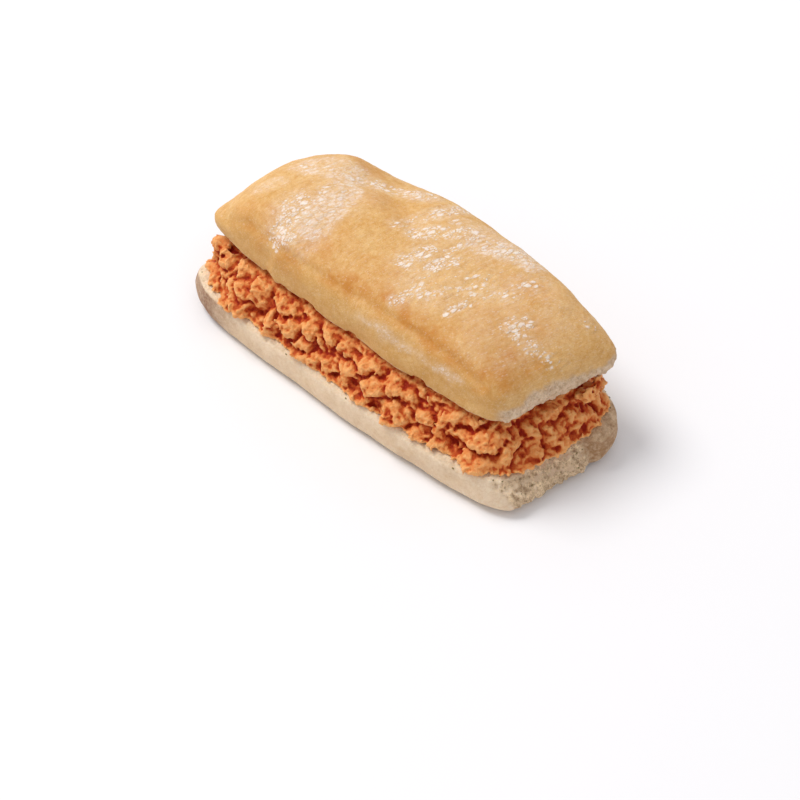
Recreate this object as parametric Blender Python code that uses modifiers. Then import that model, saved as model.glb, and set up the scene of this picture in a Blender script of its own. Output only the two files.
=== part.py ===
"""Chicken sandwich: a filled ciabatta roll, split level into a heel and a lid.

Blender 4.5. Metres, +Z up. X runs along the roll, Y across it, and the origin is on the table
under the middle of the roll. The heel lies flat, the shredded chicken lies on its cut face, and
the lid lies on the chicken. The three pieces keep a hair's gap where they touch.
"""

import math
from dataclasses import dataclass

import bmesh
import bpy
from mathutils import Vector, noise

MM = 0.001
COLLECTION = "chicken_sandwich"

# Driving dimensions
ROLL_LENGTH = 180.6 * MM
ROLL_WIDTH = 89.0 * MM
HEEL_HEIGHT = 15.6 * MM
FILLING_HEIGHT = 18.4 * MM
LID_LENGTH = 163.6 * MM
LID_WIDTH = 76.6 * MM
LID_HEIGHT = 24.5 * MM
LID_SET_BACK = 5.6 * MM
LID_SET_LEFT = 6.5 * MM
HEEL_SET_LEFT = 0.53 * MM
GAP = 0.3 * MM

# Heights of the faces that the pieces share, from the table up
HEEL_CUT = HEEL_HEIGHT
FILLING_BASE = HEEL_CUT + GAP
FILLING_TOP = FILLING_BASE + FILLING_HEIGHT
LID_CUT = FILLING_TOP + GAP

# The filling reaches nearly to the heel's rim and tapers up to the lid's rim
FILLING_LENGTH = 171.0 * MM
FILLING_WIDTH = 86.0 * MM
FILLING_SET_LEFT = 1.5 * MM
FILLING_TAPER = 8.5 * MM
LUMP_SIZE = 8.0 * MM
LUMP_RELIEF = 2.3 * MM
SWELL_SIZE = 34.0 * MM
SWELL_RELIEF = 2.2 * MM

# Mesh density
BREAD_SEGMENTS = 48
BREAD_SUBDIVISION = 1
FILLING_SEGMENTS = 176


@dataclass(frozen=True)
class Plan:
    """A piece seen from above: a rectangle with softened corners.

    corners holds one exponent for each quadrant, counted anticlockwise from +X +Y. An exponent
    of 2 gives an ellipse's quarter and a large one a tight corner. skew leans the +X end, and
    narrowing is the share of the width that is lost there.
    """

    length: float
    width: float
    corners: tuple
    skew: float
    narrowing: float
    centre: tuple = (0.0, 0.0)

    def rim(self, turn):
        """Point on the outline in the direction turn, in radians, about the plan's centre."""
        c = math.cos(turn)
        s = math.sin(turn)
        exponent = self.corners[int(turn // (math.pi / 2)) % 4]
        reach = (abs(c) ** exponent + abs(s) ** exponent) ** (-1 / exponent)
        x = self.length / 2 * c * reach
        y = self.width / 2 * s * reach
        towards_end = max(0.0, c * reach)
        y *= 1 - self.narrowing * towards_end**1.5
        return Vector((x + self.skew * y * towards_end, y, 0))

    def at(self, turn, reach):
        """Point at the share reach of the way from the centre to the outline."""
        return self.rim(turn) * reach + Vector((*self.centre, 0))


@dataclass(frozen=True)
class Mound:
    """A low swelling of the crust: where it is, how far it spreads and how high it stands."""

    x: float
    y: float
    spread_x: float
    spread_y: float
    height: float

    def lift(self, point):
        """Height that the mound adds at a point."""
        across = (point.x - self.x) / self.spread_x
        along = (point.y - self.y) / self.spread_y
        return self.height * math.exp(-(across**2) - along**2)


HEEL_PLAN = Plan(
    ROLL_LENGTH,
    ROLL_WIDTH,
    corners=(4.6, 4.6, 10.0, 14.0),
    skew=0.1,
    narrowing=0.16,
    centre=(-HEEL_SET_LEFT, 0.0),
)
LID_PLAN = Plan(
    LID_LENGTH,
    LID_WIDTH,
    corners=(14.0, 2.9, 14.0, 20.0),
    skew=0.17,
    narrowing=0.165,
    centre=(-LID_SET_LEFT, LID_SET_BACK),
)
FILLING_PLAN = Plan(
    FILLING_LENGTH,
    FILLING_WIDTH,
    corners=(4.6, 4.6, 6.0, 6.0),
    skew=0.1,
    narrowing=0.17,
    centre=(-FILLING_SET_LEFT, 0.0),
)

# The lid's crust: a valley across the back, a low hump in the middle and a thinner +X end
LID_MOUNDS = (
    Mound(-70 * MM, 26 * MM, 26 * MM, 18 * MM, -2.5 * MM),
    Mound(-34 * MM, 32 * MM, 20 * MM, 24 * MM, -6.0 * MM),
    Mound(20 * MM, 12 * MM, 34 * MM, 26 * MM, 1.2 * MM),
    Mound(84 * MM, 4 * MM, 26 * MM, 70 * MM, -4.0 * MM),
)


def shoulder(step, steps, sharpness):
    """Quarter of a rounded section: (reach, height) shares, from the top (step 0) to the side."""
    turn = math.pi / 2 * step / steps
    reach = math.sin(turn) ** (2 / sharpness)
    height = math.cos(turn) ** (2 / sharpness)
    return reach, height


def heel_section():
    """Rings of the heel from the middle of its cut face down and round to its base."""
    cut_face = [(reach, HEEL_CUT) for reach in (0.0, 0.6, 0.985)]
    side = [(1.0, HEEL_CUT * 0.62), (0.995, HEEL_CUT * 0.24)]
    base = [(reach, 0.0) for reach in (0.95, 0.6, 0.0)]
    return cut_face + side + base


def lid_section():
    """Rings of the lid from the middle of its crust down to its rim and in along its cut face."""
    steps = 5
    dome = [shoulder(step, steps, 3.6) for step in range(steps)]
    crust = [(reach, LID_CUT + LID_HEIGHT * height) for reach, height in dome]
    side = [(1.0, LID_CUT + LID_HEIGHT * 0.22), (0.985, LID_CUT)]
    cut_face = [(reach, LID_CUT) for reach in (0.6, 0.0)]
    return crust + side + cut_face


def filling_section():
    """Rings of the filling: its top face, its bulging side and its underside."""
    top = [(reach, FILLING_TOP) for reach in (0.0, 0.6, 0.9)]
    steps = 8
    side = []
    for step in range(steps + 1):
        fall = step / steps
        bulge = 1.0 + 0.035 * math.sin(math.pi * fall)
        side.append((bulge, FILLING_TOP - FILLING_HEIGHT * fall))
    base = [(reach, FILLING_BASE) for reach in (0.8, 0.0)]
    return top + side + base


def turned_cage(segments, section, place):
    """A UV sphere whose rings are moved one by one to the rings of a section.

    place(turn, reach, height) gives a vertex's point. The rings count from the top.
    """
    bm = bmesh.new()
    last = len(section) - 1
    bmesh.ops.create_uvsphere(bm, u_segments=segments, v_segments=last, radius=1.0)
    for vertex in bm.verts:
        polar = math.acos(max(-1.0, min(1.0, vertex.co.z)))
        ring = round(polar / math.pi * last)
        on_axis = ring in (0, last)
        turn = 0.0 if on_axis else math.atan2(vertex.co.y, vertex.co.x) % (2 * math.pi)
        vertex.co = place(turn, *section[ring])
    bmesh.ops.recalc_face_normals(bm, faces=bm.faces)
    return bm


def crease_ring(bm, height, tolerance=0.05 * MM):
    """Keeps the outermost edges of a level cut face sharp under subdivision."""
    crease = bm.edges.layers.float.new("crease_edge")
    for edge in bm.edges:
        level = all(abs(v.co.z - height) < tolerance for v in edge.verts)
        at_rim = any(abs(face.normal.z) < 0.9 for face in edge.link_faces)
        if level and at_rim:
            edge[crease] = 1.0


def bread_material(name, colour, roughness):
    """A matt Principled material of one colour, given as sRGB shares of 255."""
    material = bpy.data.materials.new(name)
    material.use_nodes = True
    shader = material.node_tree.nodes["Principled BSDF"]
    linear = [((share / 255 + 0.055) / 1.055) ** 2.4 for share in colour]
    shader.inputs["Base Color"].default_value = (*linear, 1.0)
    shader.inputs["Roughness"].default_value = roughness
    shader.inputs["Metallic"].default_value = 0.0
    material.diffuse_color = (*linear, 1.0)
    return material


def add_piece(name, bm, material, subdivision=0):
    """Turns a shaped cage into a named object in the sandwich's collection."""
    mesh = bpy.data.meshes.new(name)
    bm.to_mesh(mesh)
    bm.free()
    mesh.shade_smooth()
    piece = bpy.data.objects.new(name, mesh)
    piece.data.materials.append(material)
    bpy.data.collections[COLLECTION].objects.link(piece)
    if subdivision:
        soften = piece.modifiers.new("soften", "SUBSURF")
        soften.levels = subdivision
        soften.render_levels = subdivision
    return piece


def make_heel():
    """The lower half of the roll, flat underneath and cut level on top."""

    def place(turn, reach, height):
        return HEEL_PLAN.at(turn, reach) + Vector((0, 0, height))

    bm = turned_cage(BREAD_SEGMENTS, heel_section(), place)
    crease_ring(bm, HEEL_CUT)
    crust = bread_material("floured_pale_crust", (214, 199, 173), 0.85)
    return add_piece("bottom_bread", bm, crust, BREAD_SUBDIVISION)


def make_filling():
    """The shredded chicken, one mass out to its lumpy outline."""

    def place(turn, reach, height):
        risen = (height - FILLING_BASE) / FILLING_HEIGHT
        point = FILLING_PLAN.at(turn, reach)
        outward = FILLING_PLAN.rim(turn).normalized()
        taper = FILLING_TAPER * risen * min(1.0, reach)
        point -= outward * taper
        if reach >= 0.9:
            spot = point + Vector((0, 0, height))
            lumps = noise.noise(spot / LUMP_SIZE) * LUMP_RELIEF
            swell = noise.noise(spot / SWELL_SIZE + Vector((7, 3, 0))) * SWELL_RELIEF
            point += outward * (lumps + swell)
        return point + Vector((0, 0, height))

    bm = turned_cage(FILLING_SEGMENTS, filling_section(), place)
    sauce = bread_material("chicken_in_orange_sauce", (222, 128, 74), 0.55)
    return add_piece("chicken_filling", bm, sauce)


def make_lid():
    """The upper half of the roll: a domed crust over a level cut face."""

    def place(turn, reach, height):
        point = LID_PLAN.at(turn, reach)
        risen = (height - LID_CUT) / LID_HEIGHT
        lift = sum(mound.lift(point) for mound in LID_MOUNDS) * risen
        return point + Vector((0, 0, height + lift))

    bm = turned_cage(BREAD_SEGMENTS, lid_section(), place)
    crease_ring(bm, LID_CUT)
    crust = bread_material("golden_floured_crust", (219, 176, 113), 0.6)
    return add_piece("top_bread", bm, crust, BREAD_SUBDIVISION)


def main():
    for old in list(bpy.data.objects):
        bpy.data.objects.remove(old)
    sandwich = bpy.data.collections.new(COLLECTION)
    bpy.context.scene.collection.children.link(sandwich)
    make_heel()
    make_filling()
    make_lid()


main()
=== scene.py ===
"""The looks of a chicken sandwich: a floured ciabatta roll filled with shredded chicken in sauce.

Blender 4.5. Metres, +Z up. X runs along the roll and Y across it, towards the back. Each piece is
built from the roll's own sizes, skinned to an even mesh, sculpted with noise and dressed with
procedural materials, and it takes the place of one solid of the frame. Grains, patches, lines,
mounds and the limits of ramp_mm and bell are in millimetres.
"""

import sys
import itertools
import logging
import math
from collections.abc import Iterator
from dataclasses import dataclass, field
from enum import Enum

import bmesh
import bpy
import numpy as np
from mathutils import Matrix, Vector, kdtree


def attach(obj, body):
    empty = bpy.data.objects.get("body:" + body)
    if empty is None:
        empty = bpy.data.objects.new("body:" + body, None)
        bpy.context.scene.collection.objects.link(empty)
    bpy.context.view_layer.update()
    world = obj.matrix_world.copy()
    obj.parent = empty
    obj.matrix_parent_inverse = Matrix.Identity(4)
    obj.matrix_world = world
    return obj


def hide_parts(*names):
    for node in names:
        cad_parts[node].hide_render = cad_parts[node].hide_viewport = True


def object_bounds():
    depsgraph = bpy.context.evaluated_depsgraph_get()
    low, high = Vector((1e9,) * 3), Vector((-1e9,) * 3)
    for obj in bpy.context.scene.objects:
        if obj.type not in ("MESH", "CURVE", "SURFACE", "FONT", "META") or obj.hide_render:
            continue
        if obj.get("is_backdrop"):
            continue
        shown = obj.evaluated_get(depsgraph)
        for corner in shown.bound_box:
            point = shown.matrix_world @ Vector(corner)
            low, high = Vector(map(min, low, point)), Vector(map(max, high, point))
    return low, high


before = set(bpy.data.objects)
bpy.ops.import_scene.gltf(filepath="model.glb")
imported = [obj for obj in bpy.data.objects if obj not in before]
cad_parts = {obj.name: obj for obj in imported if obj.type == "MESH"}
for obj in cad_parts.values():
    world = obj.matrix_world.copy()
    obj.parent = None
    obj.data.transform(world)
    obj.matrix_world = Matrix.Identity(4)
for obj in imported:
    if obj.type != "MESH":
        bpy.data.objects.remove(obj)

MM = 0.001
CAD_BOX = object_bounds()
BODY = "root"
LOG = logging.getLogger("chicken_sandwich")

# Heights that the pieces share, from the table up
HEEL_CUT = 15.6 * MM
FILLING_BASE = 15.9 * MM
FILLING_TOP = 34.3 * MM
LID_CUT = 34.6 * MM
LID_HEIGHT = 24.5 * MM

# The flour was drawn across the roll in streaks, at this angle from +X
STREAK_TURN = 77.0


class Slot(str, Enum):
    """The record's material slots."""

    HEEL = "pale_floured_bread"
    CHICKEN = "sauced_chicken"
    LID = "golden_crust"


class Mask(str, Enum):
    """Names of the shares from 0 to 1 that the meshes carry at each point."""

    FLOUR = "flour"
    VEIL = "veil"
    TOAST = "toast"
    # pale: a paler side of the lid's crust, and painted shade at the heel's -X end
    PALE_AND_SHADE = "pale"
    CRUMB = "crumb"
    HOLLOW = "hollow"


# ---- Noise and meshes ----

HASH_PRIMES = np.array((73856093, 19349663, 83492791), dtype=np.int64)
HASH_FACTOR = 2654435761
HASH_ROWS = 4096
HASH_TABLE = np.random.default_rng(11).normal(size=(HASH_ROWS, 3))
GRADIENTS = HASH_TABLE / np.linalg.norm(HASH_TABLE, axis=1, keepdims=True)
NOISE_GAIN = 1.7
SEED_STEP = 13.7
OCTAVE_STEP = 2.03
OCTAVE_SHIFT = 5.3


def hash_rows(cell: np.ndarray) -> np.ndarray:
    """A random row number of the hash tables for each cell, given as N by 3 whole numbers.

    Args:
        cell: N by 3 array.

    Returns:
        N whole numbers.
    """
    key = (cell * HASH_PRIMES).sum(axis=1)
    key ^= key >> 15
    key = key * HASH_FACTOR & 0xFFFFFFFF
    return (key >> 12) & (HASH_ROWS - 1)


def lattice_noise(points: np.ndarray) -> np.ndarray:
    """Gradient noise on a lattice of side one.

    Args:
        points: N by 3 array.

    Returns:
        N values, nearly all from -1 to 1.
    """
    cell = np.floor(points).astype(np.int64)
    part = points - cell
    fade = part * part * part * (part * (part * 6 - 15) + 10)
    total = np.zeros(len(points))
    for corner in itertools.product((0, 1), repeat=3):
        step = np.array(corner)
        lean = GRADIENTS[hash_rows(cell + step)]
        weight = np.where(step, fade, 1 - fade).prod(axis=1)
        total += weight * ((part - step) * lean).sum(axis=1)
    return total * NOISE_GAIN


@dataclass(frozen=True)
class Grain:
    """Random relief of one grain size in millimetres; squeeze divides it along each axis."""

    size: float
    octaves: int = 1
    seed: float = 0.0
    squeeze: tuple[float, float, float] = (1.0, 1.0, 1.0)

    def layers(self, points: np.ndarray) -> Iterator[tuple[float, np.ndarray]]:
        """Each octave's share of the relief, and its noise at N by 3 points.

        Args:
            points: N by 3 array, in metres.

        Returns:
            Pairs of a share and N values.
        """
        place = points * np.array(self.squeeze) / (self.size * MM) + self.seed * SEED_STEP
        for octave in range(self.octaves):
            yield 0.5**octave, lattice_noise(place)
            place = place * OCTAVE_STEP + OCTAVE_SHIFT

    def at(self, points: np.ndarray) -> np.ndarray:
        """Relief from about -1 to 1 at each of N by 3 points."""
        return sum(share * noise for share, noise in self.layers(points))

    def curds(self, points: np.ndarray) -> np.ndarray:
        """Rounded lumps between sharp creases: 0 in a crease and about 1 on a lump.

        Args:
            points: N by 3 array, in metres.

        Returns:
            N values.
        """
        gain, roundness = 1.7, 0.65
        shares, noises = zip(*self.layers(points), strict=True)
        lumps = [np.clip(np.abs(noise) * gain, 0, 1) ** roundness for noise in noises]
        return sum(share * lump for share, lump in zip(shares, lumps, strict=True)) / sum(shares)

    def vectors(self, points: np.ndarray) -> np.ndarray:
        """A smoothly changing random vector at each point, with parts from about -1 to 1."""
        offsets = np.array(((0, 0, 0), (3, 1, 2), (7, 5, 9))) * (self.size * MM)
        return np.stack([self.at(points + offset) for offset in offsets], axis=1)

    def warp(self, points: np.ndarray, reach: float) -> np.ndarray:
        """Points moved by up to about reach, in millimetres, in a random direction each."""
        return points + self.vectors(points) * (reach * MM)


def ramp(values: np.ndarray, low: float, high: float) -> np.ndarray:
    """Smooth share from 0 at low to 1 at high; low may be above high."""
    share = np.clip((values - low) / (high - low), 0.0, 1.0)
    return share * share * (3 - 2 * share)


def ramp_mm(lengths: np.ndarray, low: float, high: float) -> np.ndarray:
    """The ramp of lengths in metres between two limits in millimetres."""
    return ramp(lengths, low * MM, high * MM)


def bell(lengths: np.ndarray, middle: float, half_width: float) -> np.ndarray:
    """Share of 1 at the middle that fades out on both sides, over lengths in metres."""
    return np.exp(-(((lengths - middle * MM) / (half_width * MM)) ** 2))


def standing(values: np.ndarray, among: np.ndarray) -> np.ndarray:
    """Each value's standing, from 0 for the least to 1, among the values that are chosen."""
    ladder = np.sort(values[among])
    return np.searchsorted(ladder, values) / len(ladder)


def settle(piece: bpy.types.Object) -> None:
    """Replaces a piece's mesh by the one that its modifiers make of it.

    Args:
        piece: the object.
    """
    graph = bpy.context.evaluated_depsgraph_get()
    made = bpy.data.meshes.new_from_object(piece.evaluated_get(graph), depsgraph=graph)
    old = piece.data
    piece.modifiers.clear()
    piece.data = made
    bpy.data.meshes.remove(old)


def piece_of(name: str, data: bpy.types.ID) -> bpy.types.Object:
    """A new object in the scene with this name and this mesh, light or camera.

    Args:
        name: the object's name.
        data: the mesh, light or camera.

    Returns:
        The object.
    """
    piece = bpy.data.objects.new(name, data)
    bpy.context.scene.collection.objects.link(piece)
    return piece


def piece_from_arrays(name: str, points: np.ndarray, faces: np.ndarray) -> bpy.types.Object:
    """A new object from points and triangles.

    Args:
        name: the object's name.
        points: N by 3 array, in metres.
        faces: M by 3 array of indices into points.

    Returns:
        The object.
    """
    mesh = bpy.data.meshes.new(name)
    mesh.vertices.add(len(points))
    mesh.vertices.foreach_set("co", points.astype(np.float32).ravel())
    mesh.loops.add(faces.size)
    mesh.loops.foreach_set("vertex_index", faces.astype(np.int32).ravel())
    mesh.polygons.add(len(faces))
    mesh.polygons.foreach_set("loop_start", np.arange(0, faces.size, 3, dtype=np.int32))
    mesh.update(calc_edges=True)
    mesh.validate()
    mesh.shade_smooth()
    return piece_of(name, mesh)


def voxel_skin(piece: bpy.types.Object, voxel: float) -> None:
    """Gives a piece one closed, even skin with faces about voxel wide.

    Args:
        piece: the object.
        voxel: width of a face, in metres.
    """
    remesh = piece.modifiers.new("skin", "REMESH")
    remesh.mode = "VOXEL"
    remesh.voxel_size = voxel
    remesh.use_smooth_shade = True
    settle(piece)


def thin_out(piece: bpy.types.Object, triangles: int) -> None:
    """Collapses the flattest places of a piece's mesh until about that many triangles are left.

    Args:
        piece: the object.
        triangles: how many to keep.
    """
    piece.data.calc_loop_triangles()
    now = len(piece.data.loop_triangles)
    if now <= triangles:
        return
    thin = piece.modifiers.new("thin", "DECIMATE")
    thin.ratio = triangles / now
    settle(piece)
    piece.data.shade_smooth()


class Sculpt:
    """A piece's points and normals as arrays, to be moved by whole fields at a time."""

    def __init__(self, piece: bpy.types.Object) -> None:
        """Reads the piece's mesh.

        Args:
            piece: the object.
        """
        self.piece = piece
        mesh = piece.data
        count = len(mesh.vertices)
        self.points = np.empty(count * 3)
        mesh.vertices.foreach_get("co", self.points)
        self.points = self.points.reshape(-1, 3)
        ends = np.empty(len(mesh.edges) * 2, dtype=np.int32)
        mesh.edges.foreach_get("vertices", ends)
        self.ends = ends.reshape(-1, 2)
        self.valence = np.bincount(ends, minlength=count).clip(1)[:, None]
        self.normals = self.read_normals()

    def read_normals(self) -> np.ndarray:
        """The mesh's point normals as an N by 3 array.

        Returns:
            N by 3 array.
        """
        found = np.empty(len(self.points) * 3)
        self.piece.data.vertices.foreach_get("normal", found)
        return found.reshape(-1, 3)

    def averaged(self, values: np.ndarray) -> np.ndarray:
        """Each point's mean of its neighbours' values, for an N by K array.

        Args:
            values: N by K array.

        Returns:
            N by K array.
        """
        first, second = self.ends[:, 0], self.ends[:, 1]
        columns = [
            np.bincount(first, column[second], len(values))
            + np.bincount(second, column[first], len(values))
            for column in values.T
        ]
        return np.stack(columns, axis=1) / self.valence

    def smoothed(self, rounds: int) -> np.ndarray:
        """The points after some rounds of moving halfway to their neighbours' mean.

        Args:
            rounds: how many rounds.

        Returns:
            N by 3 array.
        """
        points = self.points
        for _ in range(rounds):
            points = (points + self.averaged(points)) / 2
        return points

    def relax(self, rounds: int) -> None:
        """Smooths the piece."""
        self.points = self.smoothed(rounds)
        self.write()

    def push(self, amount: np.ndarray) -> None:
        """Moves each point along its normal by an amount in metres."""
        self.points = self.points + self.normals * amount[:, None]
        self.write()

    def write(self) -> None:
        """Puts the points back into the mesh and reads the new normals."""
        mesh = self.piece.data
        mesh.vertices.foreach_set("co", self.points.astype(np.float32).ravel())
        mesh.update()
        self.normals = self.read_normals()

    def depth(self, rounds: int) -> np.ndarray:
        """How far each point lies under the smoothed surface, in metres; ridges are below zero."""
        return ((self.smoothed(rounds) - self.points) * self.normals).sum(axis=1)

    def spread(self, values: np.ndarray, rounds: int) -> np.ndarray:
        """Values blurred over the surface by some rounds of averaging.

        Args:
            values: N values.
            rounds: how many rounds.

        Returns:
            N values.
        """
        column = values[:, None]
        for _ in range(rounds):
            column = (column + self.averaged(column)) / 2
        return column[:, 0]

    def paint(self, mask: Mask, values: np.ndarray) -> None:
        """Stores a share at each point, from 0 to 1, for the materials to read."""
        layer = self.piece.data.attributes.new(mask.value, "FLOAT", "POINT")
        layer.data.foreach_set("value", np.clip(values, 0.0, 1.0).astype(np.float32))

    def carve(self, centres: np.ndarray, radii: np.ndarray, share: float) -> None:
        """Presses a round pore into the surface at each centre.

        Args:
            centres: K by 3 array of points on the surface.
            radii: K radii, in metres.
            share: the pore's depth as a share of its radius.
        """
        tree = kdtree.KDTree(len(self.points))
        for index, point in enumerate(self.points):
            tree.insert(point, index)
        tree.balance()
        sunk = np.zeros(len(self.points))
        for centre, radius in zip(centres, radii, strict=True):
            for _, index, distance in tree.find_range(centre, radius):
                bowl = share * radius * (1 - (distance / radius) ** 2) ** 0.7
                sunk[index] = max(sunk[index], bowl)
        self.push(-sunk)


def skinned(piece: bpy.types.Object, voxel: float, rounds: int) -> Sculpt:
    """Skins a piece evenly, with faces about voxel wide, and smooths it by some rounds.

    Args:
        piece: the object.
        voxel: width of a face, in metres.
        rounds: how many rounds of smoothing.

    Returns:
        The piece's points and normals.
    """
    voxel_skin(piece, voxel)
    sculpt = Sculpt(piece)
    sculpt.relax(rounds)
    return sculpt


# ---- Plan and section of the roll ----


@dataclass(frozen=True)
class Plan:
    """A piece seen from above: a rectangle with softened corners.

    corners holds one exponent for each quadrant, counted anticlockwise from +X +Y. An exponent
    of 2 gives an ellipse's quarter and a large one a tight corner. skew leans the +X end, and
    narrowing is the share of the width that is lost there.
    """

    length: float
    width: float
    corners: tuple[float, float, float, float]
    skew: float
    narrowing: float
    centre: tuple[float, float] = (0.0, 0.0)

    def rim(self, turn: np.ndarray) -> np.ndarray:
        """Points on the outline about the plan's centre.

        Args:
            turn: N directions, in radians.

        Returns:
            N by 3 array, at height zero.
        """
        c, s = np.cos(turn), np.sin(turn)
        exponent = np.array(self.corners)[(turn // (math.pi / 2)).astype(int) % 4]
        reach = (np.abs(c) ** exponent + np.abs(s) ** exponent) ** (-1 / exponent)
        towards_end = np.maximum(0.0, c * reach)
        x = self.length / 2 * c * reach
        y = self.width / 2 * s * reach * (1 - self.narrowing * towards_end**1.5)
        return np.stack((x + self.skew * y * towards_end, y, np.zeros_like(x)), axis=1)

    def at(self, turn: np.ndarray, reach: np.ndarray) -> np.ndarray:
        """Points at the share reach of the way from the centre to the outline."""
        return self.rim(turn) * reach[:, None] + np.array((*self.centre, 0.0))

    def share_out(self, points: np.ndarray) -> np.ndarray:
        """How far out each point lies in plan: 0 at the centre and 1 on the outline.

        Args:
            points: N by 3 array, in metres.

        Returns:
            N shares.
        """
        steps = 1440
        flat = points[:, :2] - np.array(self.centre)
        fine = np.linspace(0, 2 * math.pi, steps, endpoint=False)
        rim = self.rim(fine)
        bearing = np.arctan2(rim[:, 1], rim[:, 0]) % (2 * math.pi)
        order = np.argsort(bearing)
        reach = np.hypot(rim[:, 0], rim[:, 1])[order]
        own = np.arctan2(flat[:, 1], flat[:, 0]) % (2 * math.pi)
        rim_reach = np.interp(own, bearing[order], reach, period=2 * math.pi)
        return np.hypot(flat[:, 0], flat[:, 1]) / rim_reach


@dataclass(frozen=True)
class Mound:
    """A low swelling, in millimetres: where it is, how far it spreads and how high it stands."""

    x: float
    y: float
    spread_x: float
    spread_y: float
    height: float

    def lift(self, points: np.ndarray) -> np.ndarray:
        """Height that the mound adds at each of N by 3 points, in metres."""
        x, y = points[:, 0], points[:, 1]
        return self.height * MM * bell(x, self.x, self.spread_x) * bell(y, self.y, self.spread_y)


HEEL_PLAN = Plan(
    length=180.6 * MM,
    width=89.0 * MM,
    corners=(4.6, 4.6, 10.0, 14.0),
    skew=0.1,
    narrowing=0.16,
    centre=(-0.53 * MM, 0.0),
)
LID_PLAN = Plan(
    length=163.6 * MM,
    width=76.6 * MM,
    corners=(14.0, 2.9, 14.0, 20.0),
    skew=0.17,
    narrowing=0.165,
    centre=(-6.5 * MM, 5.6 * MM),
)
FILLING_PLAN = Plan(
    length=171.0 * MM,
    width=86.0 * MM,
    corners=(4.6, 4.6, 6.0, 6.0),
    skew=0.1,
    narrowing=0.17,
    centre=(-1.5 * MM, 0.0),
)


def shoulder(step: int, steps: int, sharpness: float) -> tuple[float, float]:
    """Quarter of a rounded section: (reach, height) shares, from the top (step 0) to the side."""
    turn = math.pi / 2 * step / steps
    return math.sin(turn) ** (2 / sharpness), math.cos(turn) ** (2 / sharpness)


@dataclass(frozen=True)
class Cage:
    """A coarse closed form: rings of a section, each (reach, height), set on a plan."""

    plan: Plan
    section: tuple[tuple[float, float], ...]
    cut: float
    segments: int = 48
    smoothness: int = 3

    def build(self, name: str, mounds: tuple[Mound, ...], cut_to_top: float) -> bpy.types.Object:
        """Builds the cage, lifts it by its mounds and subdivides it.

        Args:
            name: the object's name.
            mounds: swellings, which fade out towards the cut face.
            cut_to_top: height over which they fade in, in metres.

        Returns:
            The object, with a sharp edge round its cut face.
        """
        bm = bmesh.new()
        last = len(self.section) - 1
        bmesh.ops.create_uvsphere(bm, u_segments=self.segments, v_segments=last, radius=1.0)
        ball = np.array([vertex.co for vertex in bm.verts])
        ring = np.rint(np.arccos(np.clip(ball[:, 2], -1, 1)) / math.pi * last).astype(int)
        turn = np.arctan2(ball[:, 1], ball[:, 0]) % (2 * math.pi)
        turn[(ring == 0) | (ring == last)] = 0.0
        reach, height = np.array(self.section)[ring].T
        points = self.plan.at(turn, reach)
        lift = sum((mound.lift(points) for mound in mounds), np.zeros(len(points)))
        points[:, 2] = height + lift * (height - self.cut) / cut_to_top
        for vertex, point in zip(bm.verts, points, strict=True):
            vertex.co = point
        bmesh.ops.recalc_face_normals(bm, faces=bm.faces)
        self.crease(bm)
        mesh = bpy.data.meshes.new(name)
        bm.to_mesh(mesh)
        bm.free()
        piece = piece_of(name, mesh)
        soften = piece.modifiers.new("soften", "SUBSURF")
        soften.levels = self.smoothness
        soften.render_levels = self.smoothness
        settle(piece)
        return piece

    def crease(self, bm: bmesh.types.BMesh, tolerance: float = 0.05 * MM) -> None:
        """Keeps the outermost edges of the level cut face sharp under subdivision.

        Args:
            bm: the cage.
            tolerance: how far off level still counts, in metres.
        """
        layer = bm.edges.layers.float.new("crease_edge")
        for edge in bm.edges:
            level = all(abs(vertex.co.z - self.cut) < tolerance for vertex in edge.verts)
            if level and any(abs(face.normal.z) < 0.9 for face in edge.link_faces):
                edge[layer] = 1.0


# ---- Shader building blocks ----


def linear(colour: tuple[int, int, int]) -> tuple[float, float, float, float]:
    """Linear colour from sRGB numbers of 255."""
    shares = [((c / 255 + 0.055) / 1.055) ** 2.4 if c > 10 else c / 255 / 12.92 for c in colour]
    return (*shares, 1.0)


class Output:
    """A node's output. Sums, differences and products of outputs are made by Math nodes."""

    def __init__(self, tree: "Tree", socket: bpy.types.NodeSocket) -> None:
        """Keeps the socket and the tree that it belongs to."""
        self.tree = tree
        self.socket = socket

    def __add__(self, other: object) -> "Output":
        """The sum with another output or a number."""
        return self.tree.maths("ADD", self, other)

    def __sub__(self, other: object) -> "Output":
        """The difference from another output or a number."""
        return self.tree.maths("SUBTRACT", self, other)

    def __mul__(self, other: object) -> "Output":
        """The product with another output or a number."""
        return self.tree.maths("MULTIPLY", self, other)

    def clipped(self) -> "Output":
        """This output, held from 0 to 1 by the Math node that makes it."""
        self.socket.node.use_clamp = True
        return self


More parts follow.
